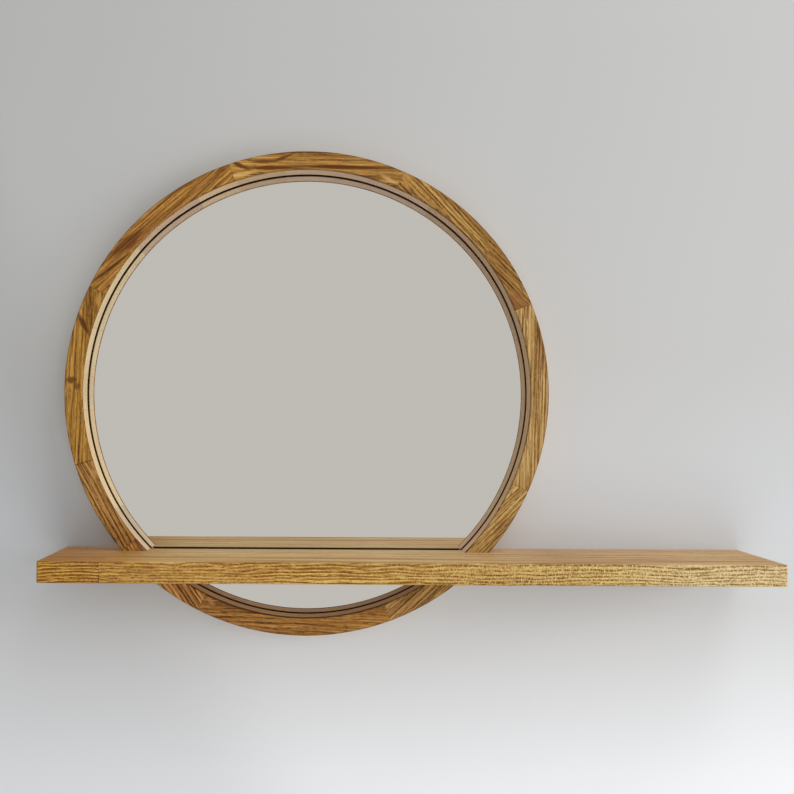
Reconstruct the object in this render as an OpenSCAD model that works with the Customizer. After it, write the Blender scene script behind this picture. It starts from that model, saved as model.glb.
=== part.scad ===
// Round oak wall mirror with a long shelf scribed over the lower part of its ring.
//
// Everything is drawn lying on its back and stood up once, by on_wall(): x runs to the
// right, y runs up and z runs out of the wall. The origin is the centre of the ring, on
// the wall plane, so that the finished mirror faces -Y with +Z up.

/* [Ring] */
// Outer diameter of the ring
ring_d = 600; // [570:5:700]
// Width of the ring's face, measured along the radius
ring_face_w = 22; // [22:0.5:32]
// Thickness of the front layer of segments
front_layer_t = 5; // [4:0.5:16]
// Thickness of the rear layer of segments
rear_layer_t = 31; // [22:0.5:34]
// Broken edge along the ring's front corners and along the sight edge
ring_arris = 0.8; // [0.4:0.1:1.5]

/* [Mirror pane] */
// Thickness of the glass
pane_t = 4; // [3:0.5:6]
// How far the ring's lip covers the edge of the glass
pane_cover = 5.5; // [4:0.5:6]
// Room left around the edge of the glass
pane_room = 1; // [0.5:0.1:1.4]
// Thickness of the foam strip that the glass is bedded on
strip_t = 4; // [2:0.5:6]
// How far the foam strip stays back from the sight edge
strip_setback = 1; // [0.5:0.25:1.5]
// Thickness of the hardboard back
back_board_t = 3; // [2.5:0.5:4]
// Width of the rim that is left outside the hardboard back
back_rim_w = 5.5; // [4.5:0.5:6]
// Room left around the edge of the hardboard back
back_board_room = 0.5; // [0.3:0.1:1]

/* [Shelf] */
// Reach of the shelf to the left of the ring's centre
shelf_left = 305.5; // [290:0.5:420]
// Reach of the shelf to the right of the ring's centre
shelf_right = 552.5; // [400:0.5:750]
// Depth of the shelf from the wall
shelf_depth = 120; // [105:1:160]
// Thickness of the shelf
shelf_t = 25; // [22:1:36]
// Drop from the ring's centre to the top of the shelf
shelf_drop = 196; // [170:1:220]
// Broken edge along the shelf's front and ends
shelf_arris = 1; // [0.4:0.1:2]
// Radius of the shelf's two front corners, seen from above
shelf_corner_r = 2.5; // [1:0.5:8]
// Depth of the front stave
front_stave_w = 40; // [24:1:42]
// Length of the short piece at the left of the front stave
short_stave_l = 71.5; // [50:0.5:200]
// Gap between the shelf's back edge and the glass
shelf_pane_gap = 8; // [3:0.5:12]
// Clearance between the ring and the rear staves that are scribed to its round walls
scribe_gap = 0.2; // [0.1:0.05:0.5]

/* [Joinery] */
// Diameter of the dowels between the ring and the shelf
dowel_d = 8; // [6:0.5:8]
// Length of the dowels between the ring and the shelf
dowel_l = 36; // [28:1:44]
// Diameter of the screws between the ring and the shelf
leg_screw_d = 4.5; // [4:0.5:5]
// Length of the screws between the ring and the shelf
leg_screw_l = 70; // [60:1:80]
// Distance of the dowel and the screw from the middle of the shelf's thickness
leg_pitch = 5; // [4.5:0.25:6]
// Diameter of the screws that hold the hardboard back
back_screw_d = 3; // [2.5:0.5:3.5]
// Length of the screws that hold the hardboard back
back_screw_l = 16; // [12:1:18]

/* [Wall fixing] */
// Diameter of the bores for the hidden shelf supports, which stop at the front stave
support_bore_d = 12.5; // [10.5:0.5:14.5]
// Distance of the last support bore from the shelf's right end
support_end_x = 60; // [40:1:120]
// Length of the keyhole plates
plate_l = 40; // [38:0.5:42]
// Width of the keyhole plates
plate_w = 12; // [11:0.5:12.5]
// Thickness of the keyhole plates
plate_t = 2; // [1.5:0.25:2.5]
// How deep the keyhole plates are let into the ledge behind the glass
plate_inset = 0.5; // [0.3:0.1:1]
// Diameter of the hole that passes the wall screw's head
keyhole_entry_d = 9; // [8:0.5:9.5]
// Width of the slot that holds the wall screw's neck
keyhole_slot_w = 5; // [4.5:0.25:5.5]
// Rise from the entry hole to the top of the slot
keyhole_rise = 10; // [8:0.5:11]
// Diameter of the plate's screws
plate_screw_d = 3; // [2.5:0.25:3.5]
// Length of the plate's screws
plate_screw_l = 14; // [10:1:18]

/* [Hidden] */

// Facets of the large ring and of the small round parts
ring_fn = 240;
small_fn = 32;
// Overshoot of a cutter past the face that it opens
cut = 1;

// Ring
ring_r = ring_d / 2;
sight_r = ring_r - ring_face_w;
mid_r = (ring_r + sight_r) / 2;
ring_t = front_layer_t + rear_layer_t;

// Rebates, as heights above the wall
back_board_z = back_board_t;
pane_z = back_board_z + pane_t;
lip_z = pane_z + strip_t;
pane_r = sight_r + pane_cover;
pane_rebate_r = pane_r + pane_room;
back_rebate_r = ring_r - back_rim_w;
back_board_r = back_rebate_r - back_board_room;
ledge_r = (pane_rebate_r + back_rebate_r) / 2;

// Width of a countersunk head as a multiple of its screw's diameter
head_ratio = 1.9;

// Shelf
shelf_top = -shelf_drop;
shelf_mid = shelf_top - shelf_t / 2;
shelf_bottom = shelf_top - shelf_t;
scribe_r_in = sight_r - scribe_gap;
scribe_r_out = ring_r + scribe_gap;
middle_stave_z = ring_t + scribe_gap;
front_stave_z = shelf_depth - front_stave_w;
centre_stave_z = pane_z + shelf_pane_gap;
stave_joint_x = short_stave_l - shelf_left;

// Joinery where the ring's legs pass the shelf
dowel_y = shelf_mid + leg_pitch;
dowel_x = sqrt(mid_r * mid_r - dowel_y * dowel_y);
dowel_z = middle_stave_z - dowel_l / 2;
leg_screw_y = shelf_mid - leg_pitch;
leg_screw_x = sqrt(ledge_r * ledge_r - leg_screw_y * leg_screw_y);

// Angles below the horizontal at which the ring's legs pass the shelf
leg_top_angle = asin(shelf_drop / mid_r);
leg_screw_angle = asin(-leg_screw_y / ledge_r);

// Joints of the two layers, in degrees anticlockwise from the right as seen from the
// front. The maker's segments differ a little and stay clear of each other's joints. At
// the left leg one joint of each layer follows the shelf, so that the dowel and the
// screw there pass through whole wood.
front_leg_joint_angle = 180 + leg_top_angle - 2;
front_joint_angles = [
    22, 66.5, 109, 154, 197.5, front_leg_joint_angle, front_leg_joint_angle + 23, 290.5, 336.5
];
rear_leg_joint_angle = 180 + leg_screw_angle + 2.5;
rear_joint_angles = [15, 57, 96, 119.5, 139.5, 184.5, rear_leg_joint_angle, 279, 326];

// Screws of the hardboard back: a row over the top, one on each side between the
// keyhole plate and the shelf, and three between the ring's legs
back_screw_angles = [
    20, 48, 76, 104, 132, 160,
    180 + leg_screw_angle / 2,
    225 + leg_screw_angle / 2,
    270,
    315 - leg_screw_angle / 2,
    360 - leg_screw_angle / 2
];

// Hidden shelf supports: one on each side of the ring, and one near the right end
leg_outer_x = sqrt(ring_r * ring_r - shelf_top * shelf_top);
support_near_x = (leg_outer_x + min(shelf_left, shelf_right)) / 2;
support_xs = [-support_near_x, support_near_x, shelf_right - support_end_x];

// Keyhole plates lie on the ledge at the ring's widest points
plate_gap = 0.3;
plate_screw_end = 4.5;
plate_x = pane_rebate_r + plate_gap + plate_w / 2;
plate_floor_z = back_board_z + plate_inset;
plate_z = plate_floor_z - plate_t;
plate_screw_y = plate_l / 2 - plate_screw_end;
keyhole_entry_y = -keyhole_rise / 2;
keyhole_top_y = keyhole_entry_y + keyhole_rise;
head_pocket_room = 0.8;
head_pocket_w = keyhole_entry_d + head_pocket_room;
head_pocket_depth = 9;

// Stands what is drawn on its back up against the wall
module on_wall() {
    rotate([90, 0, 0])
        children();
}

// Part of a turned profile between two angles
module turned(from, to) {
    rotate([0, 0, from])
        rotate_extrude(angle = to - from, $fn = ring_fn)
            children();
}

// Countersunk screw whose head is flush with z = 0 and whose point is up
module countersunk_screw(d, l) {
    head_d = d * head_ratio;
    head_h = (head_d - d) / 2;
    point_h = d;
    cylinder(d1 = head_d, d2 = d, h = head_h, $fn = small_fn);
    translate([0, 0, head_h])
        cylinder(d = d, h = l - head_h - point_h, $fn = small_fn);
    translate([0, 0, l - point_h])
        cylinder(d1 = d, d2 = d / 4, h = point_h, $fn = small_fn);
}

// Section of the front layer: both front corners are broken
module front_layer_section() {
    polygon([
        [sight_r, rear_layer_t],
        [ring_r, rear_layer_t],
        [ring_r, ring_t - ring_arris],
        [ring_r - ring_arris, ring_t],
        [sight_r + ring_arris, ring_t],
        [sight_r, ring_t - ring_arris]
    ]);
}

// Section of the rear layer: a deep rebate for the glass and a shallow one for its back
module rear_layer_section() {
    polygon([
        [sight_r, lip_z + ring_arris],
        [sight_r + ring_arris, lip_z],
        [pane_rebate_r, lip_z],
        [pane_rebate_r, back_board_z],
        [back_rebate_r, back_board_z],
        [back_rebate_r, 0],
        [ring_r, 0],
        [ring_r, rear_layer_t],
        [sight_r, rear_layer_t]
    ]);
}

// Dowel holes at the two legs
module dowel_cutters() {
    for (side = [-1, 1])
        translate([side * dowel_x, dowel_y, dowel_z])
            cylinder(d = dowel_d, h = dowel_l, $fn = small_fn);
}

// Screw holes at the two legs, countersunk in the ledge
module leg_screw_cutters() {
    for (side = [-1, 1])
        translate([side * leg_screw_x, leg_screw_y, back_board_z])
            countersunk_screw(leg_screw_d, leg_screw_l);
}

// Holes of the hardboard's screws, from the wall side
module back_screw_cutters() {
    for (angle = back_screw_angles)
        rotate([0, 0, angle])
            translate([ledge_r, 0, 0])
                countersunk_screw(back_screw_d, back_screw_l);
}

// Puts a keyhole fitting at the ring's widest point on one side
module at_plate(side) {
    mirror([side < 0 ? 1 : 0, 0, 0])
        translate([plate_x, 0, 0])
            children();
}

// Recess for one keyhole plate, open towards the glass, with the pocket that the wall
// screw's head moves in
module plate_cutter(side) {
    at_plate(side) {
        translate([-plate_w / 2 - plate_gap - 2 * cut, -plate_l / 2 - plate_gap, -cut])
            cube([plate_w + 2 * (plate_gap + cut), plate_l + 2 * plate_gap, plate_floor_z + cut]);
        for (y = [keyhole_entry_y, keyhole_top_y])
            translate([0, y, 0])
                cylinder(d = head_pocket_w, h = plate_floor_z + head_pocket_depth, $fn = small_fn);
        translate([-head_pocket_w / 2, keyhole_entry_y, 0])
            cube([head_pocket_w, keyhole_rise, plate_floor_z + head_pocket_depth]);
        for (y = [-plate_screw_y, plate_screw_y])
            translate([0, y, plate_z])
                countersunk_screw(plate_screw_d, plate_screw_l);
    }
}

// Joint at the end of segment i of a layer
function next_joint(joints, i) = i == len(joints) - 1 ? joints[0] + 360 : joints[i + 1];

module front_segment(i) {
    color(i % 2 == 0 ? "#a9783c" : "#9c6c33")
        on_wall()
            difference() {
                turned(front_joint_angles[i], next_joint(front_joint_angles, i))
                    front_layer_section();
                dowel_cutters();
                leg_screw_cutters();
            }
}

module rear_segment(i) {
    color(i % 2 == 0 ? "#c9a877" : "#bd9a68")
        on_wall()
            difference() {
                turned(rear_joint_angles[i], next_joint(rear_joint_angles, i))
                    rear_layer_section();
                dowel_cutters();
                leg_screw_cutters();
                back_screw_cutters();
                plate_cutter(-1);
                plate_cutter(1);
            }
}

// Glass with its edges ground to a small arris
module mirror_pane() {
    grind = 0.5;
    color("#c9ced0")
        on_wall()
            rotate_extrude($fn = ring_fn)
                polygon([
                    [0, back_board_z],
                    [pane_r - grind, back_board_z],
                    [pane_r, back_board_z + grind],
                    [pane_r, pane_z - grind],
                    [pane_r - grind, pane_z],
                    [0, pane_z]
                ]);
}

// Black foam strip between the ring's lip and the glass
module bedding_strip() {
    color("#1c1a18")
        on_wall()
            rotate_extrude($fn = ring_fn)
                translate([sight_r + strip_setback, pane_z])
                    square([pane_cover - strip_setback, strip_t]);
}

// Round hardboard back, cut straight at the two sides to leave room for the keyhole plates
module back_board() {
    flat_x = pane_rebate_r - back_board_room;
    color("#7a5b3d")
        on_wall()
            difference() {
                intersection() {
                    cylinder(r = back_board_r, h = back_board_t, $fn = ring_fn);
                    translate([-flat_x, -ring_r, -cut])
                        cube([2 * flat_x, ring_d, back_board_t + 2 * cut]);
                }
                back_screw_cutters();
            }
}

module back_screws() {
    color("#b8b4a8")
        on_wall()
            back_screw_cutters();
}

// The shelf as one board: its front and end edges are broken, and its front corners are
// rounded as seen from above
module shelf_blank() {
    a = shelf_arris;
    r = shelf_corner_r;
    length = shelf_left + shelf_right;
    intersection() {
        translate([-shelf_left, 0, 0])
            rotate([90, 0, 90])
                linear_extrude(length)
                    polygon([
                        [shelf_bottom, 0],
                        [shelf_top, 0],
                        [shelf_top, shelf_depth - a],
                        [shelf_top - a, shelf_depth],
                        [shelf_bottom + a, shelf_depth],
                        [shelf_bottom, shelf_depth - a]
                    ]);
        linear_extrude(shelf_depth)
            polygon([
                [-shelf_left + a, shelf_bottom],
                [shelf_right - a, shelf_bottom],
                [shelf_right, shelf_bottom + a],
                [shelf_right, shelf_top - a],
                [shelf_right - a, shelf_top],
                [-shelf_left + a, shelf_top],
                [-shelf_left, shelf_top - a],
                [-shelf_left, shelf_bottom + a]
            ]);
        translate([-shelf_left, shelf_top, 0])
            rotate([90, 0, 0])
                linear_extrude(shelf_t)
                    union() {
                        square([length, shelf_depth - r]);
                        translate([r, 0])
                            square([length - 2 * r, shelf_depth]);
                        for (x = [r, length - r])
                            translate([x, shelf_depth - r])
                                circle(r = r, $fn = small_fn);
                    }
    }
}

// Bores for the hidden supports. They are drilled right through the rear and the middle
// staves, and the front stave is glued on over them
module support_cutters() {
    for (x = support_xs)
        translate([x, shelf_mid, -cut])
            cylinder(d = support_bore_d, h = front_stave_z + 2 * cut, $fn = small_fn);
}

// A stave of the shelf between two depths and two places along it, with the holes that
// it has where the ring's legs are fixed
module stave(z_from, z_to, x_from, x_to) {
    difference() {
        intersection() {
            shelf_blank();
            translate([x_from, shelf_bottom - cut, z_from])
                cube([x_to - x_from, shelf_t + 2 * cut, z_to - z_from]);
        }
        dowel_cutters();
        leg_screw_cutters();
    }
}

// Rear stave outside the ring on one side, with its end scribed to the ring's outer wall
module shelf_rear_stave_side(side) {
    color(side < 0 ? "#b98a48" : "#bd8f4c")
        on_wall()
            difference() {
                stave(0, middle_stave_z, side < 0 ? -shelf_left : 0, side < 0 ? 0 : shelf_right);
                support_cutters();
                translate([0, 0, -cut])
                    cylinder(r = scribe_r_out, h = middle_stave_z + 2 * cut, $fn = ring_fn);
            }
}

// Rear stave between the ring's legs, with both ends scribed to the ring's inner wall. It
// stays clear of the glass
module shelf_rear_stave_centre() {
    color("#b58644")
        on_wall()
            intersection() {
                stave(centre_stave_z, middle_stave_z, -sight_r, sight_r);
                cylinder(r = scribe_r_in, h = middle_stave_z + cut, $fn = ring_fn);
            }
}

module shelf_middle_stave() {
    color("#c1934f")
        on_wall()
            difference() {
                stave(middle_stave_z, front_stave_z, -shelf_left, shelf_right);
                support_cutters();
            }
}

module shelf_front_stave_short() {
    color("#b5853f")
        on_wall()
            stave(front_stave_z, shelf_depth, -shelf_left, stave_joint_x);
}

module shelf_front_stave_long() {
    color("#c4984f")
        on_wall()
            stave(front_stave_z, shelf_depth, stave_joint_x, shelf_right);
}

module leg_dowels() {
    color("#d8b98a")
        on_wall()
            dowel_cutters();
}

module leg_screws() {
    color("#b8b4a8")
        on_wall()
            leg_screw_cutters();
}

module keyhole_plate(side) {
    color("#b9bcc0")
        on_wall()
            at_plate(side)
                difference() {
                    translate([-plate_w / 2, -plate_l / 2, plate_z])
                        cube([plate_w, plate_l, plate_t]);
                    translate([0, keyhole_entry_y, 0])
                        cylinder(d = keyhole_entry_d, h = plate_floor_z + cut, $fn = small_fn);
                    translate([0, keyhole_top_y, 0])
                        cylinder(d = keyhole_slot_w, h = plate_floor_z + cut, $fn = small_fn);
                    translate([-keyhole_slot_w / 2, keyhole_entry_y, 0])
                        cube([keyhole_slot_w, keyhole_rise, plate_floor_z + cut]);
                    for (y = [-plate_screw_y, plate_screw_y])
                        translate([0, y, plate_z])
                            countersunk_screw(plate_screw_d, plate_screw_l);
                }
}

module keyhole_screws() {
    color("#b8b4a8")
        on_wall()
            for (side = [-1, 1], y = [-plate_screw_y, plate_screw_y])
                at_plate(side)
                    translate([0, y, plate_z])
                        countersunk_screw(plate_screw_d, plate_screw_l);
}

front_segment(0);  // front_segment_1
front_segment(1);  // front_segment_2
front_segment(2);  // front_segment_3
front_segment(3);  // front_segment_4
front_segment(4);  // front_segment_5
front_segment(5);  // front_segment_6
front_segment(6);  // front_segment_7
front_segment(7);  // front_segment_8
front_segment(8);  // front_segment_9
rear_segment(0);  // rear_segment_1
rear_segment(1);  // rear_segment_2
rear_segment(2);  // rear_segment_3
rear_segment(3);  // rear_segment_4
rear_segment(4);  // rear_segment_5
rear_segment(5);  // rear_segment_6
rear_segment(6);  // rear_segment_7
rear_segment(7);  // rear_segment_8
rear_segment(8);  // rear_segment_9
mirror_pane();
bedding_strip();
back_board();
back_screws();
shelf_front_stave_short();
shelf_front_stave_long();
shelf_middle_stave();
shelf_rear_stave_side(-1);  // shelf_rear_stave_left
shelf_rear_stave_centre();
shelf_rear_stave_side(1);  // shelf_rear_stave_right
leg_dowels();
leg_screws();
keyhole_plate(-1);  // keyhole_plate_left
keyhole_plate(1);  // keyhole_plate_right
keyhole_screws();
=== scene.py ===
"""Round oak wall mirror with a long shelf: looks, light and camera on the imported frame.

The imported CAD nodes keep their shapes. This script gives each of them its material,
models the screws and dowels in full, and sets up the studio.
"""

import logging
import math
from collections.abc import Callable
from dataclasses import dataclass, field
from enum import Enum
from functools import partial
from typing import Any

import bpy
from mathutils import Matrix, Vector

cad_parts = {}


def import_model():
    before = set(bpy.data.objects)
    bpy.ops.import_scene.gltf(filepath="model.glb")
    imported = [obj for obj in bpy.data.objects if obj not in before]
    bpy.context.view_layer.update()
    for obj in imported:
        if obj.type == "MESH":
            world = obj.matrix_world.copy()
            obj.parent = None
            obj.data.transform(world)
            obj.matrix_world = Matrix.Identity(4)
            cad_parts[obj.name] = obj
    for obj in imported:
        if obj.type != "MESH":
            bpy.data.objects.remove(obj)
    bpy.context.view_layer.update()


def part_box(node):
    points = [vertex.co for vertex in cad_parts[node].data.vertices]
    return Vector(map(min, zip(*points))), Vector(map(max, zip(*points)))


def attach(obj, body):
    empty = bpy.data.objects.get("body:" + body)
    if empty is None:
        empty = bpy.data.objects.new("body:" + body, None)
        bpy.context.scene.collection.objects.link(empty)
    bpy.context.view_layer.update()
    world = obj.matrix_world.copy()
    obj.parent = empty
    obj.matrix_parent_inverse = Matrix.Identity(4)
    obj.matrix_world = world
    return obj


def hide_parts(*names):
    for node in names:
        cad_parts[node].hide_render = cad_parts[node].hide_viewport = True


LOG = logging.getLogger("mirror_with_shelf")
BODY = "root"
MM = 0.001

# Numbers of the Mix node's colour inputs and output, because it has more of the same names
MIX_A, MIX_B, MIX_OUT = 6, 7, 2
# Distance at which the rings of a wave texture repeat at scale 1, and the fineness of
# their small wobble, per metre
WAVE_PERIOD = 0.314
WAVE_WOBBLE = 220
# Distances from the ring's axis over which its broken edges darken, in millimetres
OUTER_EDGE = (298.4, 299.8)
INNER_EDGE = (279.5, 278.3)

Colour = tuple[float, float, float, float]
Plane = tuple[float, float, float, float]
Point = tuple[float, float, float]
Stops = tuple[tuple[float, str], ...]
Stains = str | Stops
Material = bpy.types.Material
Piece = bpy.types.Object
Socket = bpy.types.NodeSocket
Layers = list[tuple[Socket, Colour]]
NodeAdder = Callable[..., Any]


# --- Colours and nodes ---


def linear(code: str) -> Colour:
    """Turns an sRGB hex colour into linear values.

    Args:
        code: Six hex digits after a hash sign.

    Returns:
        Red, green and blue in linear light, and an alpha of 1.
    """
    channels = (int(code[i:i + 2], 16) / 255 for i in (1, 3, 5))
    red, green, blue = (
        c / 12.92 if c <= 0.04045 else ((c + 0.055) / 1.055) ** 2.4 for c in channels
    )
    return red, green, blue, 1.0


def grey(value: float) -> Colour:
    """Returns a grey of the given linear value."""
    return value, value, value, 1.0


def add_node(
    tree: bpy.types.NodeTree,
    kind: str,
    inputs: dict[str | int, Any] | None = None,
    out: str | int = 0,
    stops: list[tuple[float, Colour]] | None = None,
    **settings: Any,
) -> Socket | None:
    """Adds one shader node with its settings and links.

    Args:
        tree: Node tree that gets the node.
        kind: Type of the node, without its ShaderNode prefix.
        inputs: Values or output sockets for the node's inputs, by name or number.
        out: Name or number of the output that is wanted.
        stops: Positions and colours of a colour ramp, in order.
        settings: Properties of the node.

    Returns:
        The output socket asked for, or None where the node has no outputs.
    """
    node = tree.nodes.new("ShaderNode" + kind)
    for name, value in settings.items():
        setattr(node, name, value)
    for key, value in (inputs or {}).items():
        if isinstance(value, Socket):
            tree.links.new(value, node.inputs[key])
        else:
            node.inputs[key].default_value = value
    for index, (position, colour) in enumerate(stops or []):
        elements = node.color_ramp.elements
        if index >= len(elements):
            elements.new(position)
        elements[index].position = position
        elements[index].color = colour
    return node.outputs[out] if node.outputs else None


def blank_material(name: str) -> tuple[Material, NodeAdder]:
    """Makes a material with an empty node tree.

    Args:
        name: Name of the material.

    Returns:
        The material, and add_node for its node tree.
    """
    material = bpy.data.materials.new(name)
    material.use_nodes = True
    material.node_tree.nodes.clear()
    return material, partial(add_node, material.node_tree)


def dress(node_name: str, material: Material) -> None:
    """Puts a material on every slot of a CAD node.

    Args:
        node_name: Name of the CAD node.
        material: Material for it.
    """
    target = bpy.data.objects[node_name]
    if not target.material_slots:
        target.data.materials.append(material)
    for slot in target.material_slots:
        slot.material = material
    LOG.info("%s: %s", node_name, material.name)


# --- Oak ---


# Colours of an oak board: the dense late wood, the porous early wood at the start of each
# ring, darker bands of heartwood, open pores and dark lines, ray flecks and pale streaks
OAK_PARTS = ("late", "early", "heart", "pore", "ray")


class OakTone(Enum):
    """Tones of the boards as they were picked, each with the colours of its oak parts. The inner wall's
    tones are also made paler with painted light.
    """

    HONEY = ("#c89a4e", "#764614", "#94602a", "#52290a", "#e4bc76")
    AMBER = ("#c08f42", "#6c3c10", "#84521e", "#472207", "#dcae62")
    STRAW = ("#d4ad6c", "#845424", "#a07038", "#552f0e", "#f0d298")
    UMBER = ("#c3914c", "#5e3210", "#74451c", "#3b1c06", "#dfb06c")
    # The inner wall's tones: their own pale tone, made paler still with painted light for the light that
    # the mirror throws back onto the inner wall
    CREAM = ("#e6d5ab", "#d4bd8f", "#d2bb92", "#b1966b", "#efe8c9")
    ROSE = ("#e4c9b0", "#cfae94", "#ccaa90", "#a4846a", "#f1dfcc")
    TAN = ("#e0bb92", "#c9a079", "#c49b76", "#9f7754", "#ebcfae")
    SAND = ("#dcc18a", "#98692f", "#b48f54", "#6b461c", "#f4e4b8")


@dataclass(frozen=True)
class Mark:
    """Mark in a board, such as a knot, a long dark line or a patch of another tone.

    Attributes:
        centre: X and Z of its middle, in millimetres.
        reach: Half sizes along and across the grain, in millimetres.
        colour: Colour of the mark as an sRGB hex value.
        strength: How fully it covers the wood, from 0 to 1.
        turn: Its direction in degrees off the grain.
        depth: Y of its middle and half size into the wall, in millimetres.
    """

    centre: tuple[float, float]
    reach: tuple[float, float]
    colour: str
    strength: float
    turn: float = 0.0
    depth: tuple[float, float] = (-35.0, 9.0)


@dataclass(frozen=True)
class Seam:
    """Glued joint between two boards, or a dark line of painted shade along the edge of one.

    Attributes:
        plane: Its plane, as a normal and a distance in metres.
        strength: How dark the line is, from 0 to 1.
        width: Half width of the line in millimetres.
        colour: Colour of the line as an sRGB hex value.
        inside: Distance from the ring's axis within which it shows, in millimetres.
    """

    plane: Plane
    strength: float
    width: float = 0.7
    colour: str = "#40240e"
    inside: float | None = None


@dataclass(frozen=True)
class OakFinish:
    """Oiled oak, planed and sanded: a satin surface with open pores.

    Attributes:
        tone: Colours of the board.
        ring_gap: Distance between two growth rings, in millimetres.
        figure: Strength of the growth rings: 1 where the strongest show fully, more
            where most do.
        wander: How far the rings wander off a straight line, in millimetres.
        streak: Strength of the fine streaks, from 0 to 1.
        streak_size: Length and width of a streak, in millimetres.
        pore: Strength of the pores, from 0 to 1.
        pore_size: Length and width of a pore as it is drawn, in millimetres.
        fleck: Strength of the ray flecks, from 0 to 1.
        fleck_size: Their size along and across the grain, in millimetres.
        fleck_span: X at which flecks start and X from which all show, in millimetres.
        calm: Strength of the pattern on faces that look up, down or sideways.
        roughness: Roughness of the oiled surface.
        sheen_level: Specular level of the oil film.
        outer_edge: How dark the ring's broken outer edge is, from 0 to 1.
        inner_edge_shade: How dark the ring's broken inner edge is, from 0 to 1: dark end grain with
            painted shade where the face meets the inner wall.
    """

    tone: OakTone
    ring_gap: float
    figure: float
    wander: float
    streak: float
    streak_size: tuple[float, float]
    pore: float
    pore_size: tuple[float, float] = (8.0, 1.2)
    fleck: float = 0.15
    fleck_size: tuple[float, float] = (4.5, 2.2)
    fleck_span: tuple[float, float] | None = None
    calm: float = 1.0
    roughness: float = 0.5
    sheen_level: float = 0.35
    outer_edge: float = 0.0
    inner_edge_shade: float = 0.0


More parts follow.
